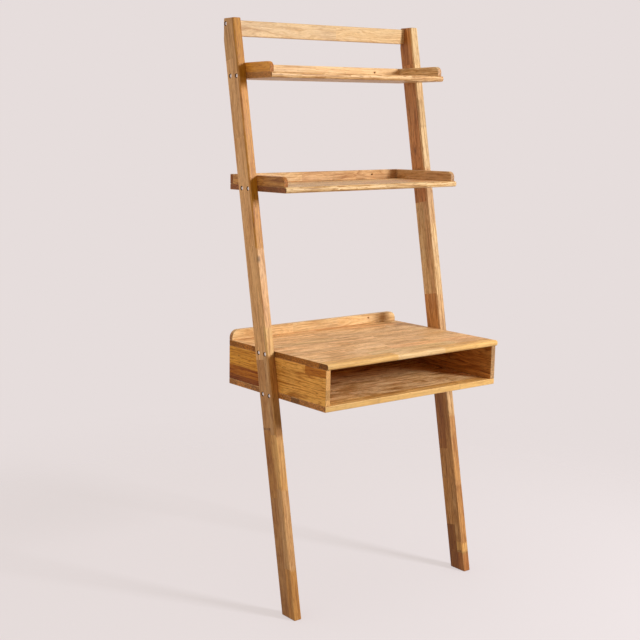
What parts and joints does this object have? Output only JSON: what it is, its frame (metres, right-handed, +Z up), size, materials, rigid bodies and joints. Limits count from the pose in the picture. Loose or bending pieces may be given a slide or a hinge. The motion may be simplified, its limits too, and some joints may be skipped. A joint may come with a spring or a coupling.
{
  "type": "ladder desk",
  "caption": "Leaning oak ladder desk: sloping uprights carry a rail, shelf trays with rounded lips and an open desk box with a raised back strip.",
  "frame": {"origin": "on the floor, midway between the uprights and midway between the wall plane and the desktop's front edge", "axes": "+X to the right as one sits at the desk, +Y towards the wall, +Z up"},
  "size_m": [0.725, 0.468, 1.73],
  "materials": {
    "oiled_oak": "oiled, satin",
    "steel_bolt": "bright zinc-plated",
    "steel_insert": "zinc-plated",
    "beech_dowel": "bare"
  },
  "bodies": {
    "root": {"left_upright": "oiled_oak", "right_upright": "oiled_oak", "top_rail": "oiled_oak", "upper_shelf_board": "oiled_oak", "upper_shelf_back_lip": "oiled_oak", "upper_shelf_left_lip": "oiled_oak", "upper_shelf_right_lip": "oiled_oak", "middle_shelf_board": "oiled_oak", "middle_shelf_back_lip": "oiled_oak", "middle_shelf_left_lip": "oiled_oak", "middle_shelf_right_lip": "oiled_oak", "desk_top": "oiled_oak", "desk_bottom": "oiled_oak", "desk_left_side": "oiled_oak", "desk_right_side": "oiled_oak", "desk_back": "oiled_oak", "desk_back_lip": "oiled_oak", "top_rail_bolts": "steel_bolt", "upper_shelf_bolts": "steel_bolt", "middle_shelf_bolts": "steel_bolt", "desk_top_bolts": "steel_bolt", "desk_bottom_bolts": "steel_bolt", "top_rail_inserts": "steel_insert", "upper_shelf_inserts": "steel_insert", "middle_shelf_inserts": "steel_insert", "desk_top_inserts": "steel_insert", "desk_bottom_inserts": "steel_insert", "top_rail_dowels": "beech_dowel", "upper_shelf_lip_dowels": "beech_dowel", "middle_shelf_lip_dowels": "beech_dowel", "desk_side_dowels": "beech_dowel", "desk_back_dowels": "beech_dowel"}
  },
  "joints": []
}
